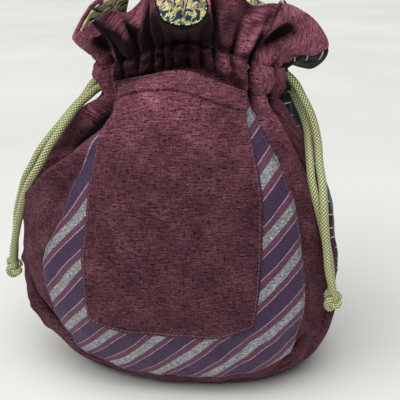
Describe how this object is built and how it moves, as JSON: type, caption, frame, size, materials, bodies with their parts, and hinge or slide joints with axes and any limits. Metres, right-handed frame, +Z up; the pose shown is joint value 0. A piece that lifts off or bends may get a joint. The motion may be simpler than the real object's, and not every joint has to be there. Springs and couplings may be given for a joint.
{
  "type": "kinchaku drawstring pouch",
  "caption": "Soft round-bellied cloth pouch with a gathered neck, a ruffled mouth, a front patch pocket and two drawcords.",
  "frame": {"origin": "on the ground, under the middle of the pouch's box without its cords", "axes": "+Z up through the mouth, -Y out of the front with the pocket, +X to the right as seen from the front"},
  "size_m": [0.2095, 0.1327, 0.2366],
  "materials": {
    "plum_cloth": "matt slub cotton, plum with dark flecks",
    "back_cloth": "matt dark cotton with white running stitches",
    "brocade": "purple brocade with slanting silver stripes",
    "lining_cloth": "smooth printed cotton, cream, blue and teal",
    "cord": "round braided cord, celery green"
  },
  "bodies": {
    "root": {"front_panel": "plum_cloth", "gusset": "plum_cloth", "back_panel": "back_cloth", "brocade_panel": "brocade", "pocket": "plum_cloth", "lining_front": "lining_cloth", "lining_back": "lining_cloth", "drawcord_left": "cord", "drawcord_right": "cord", "knot_left": "cord", "knot_right": "cord"}
  },
  "joints": []
}
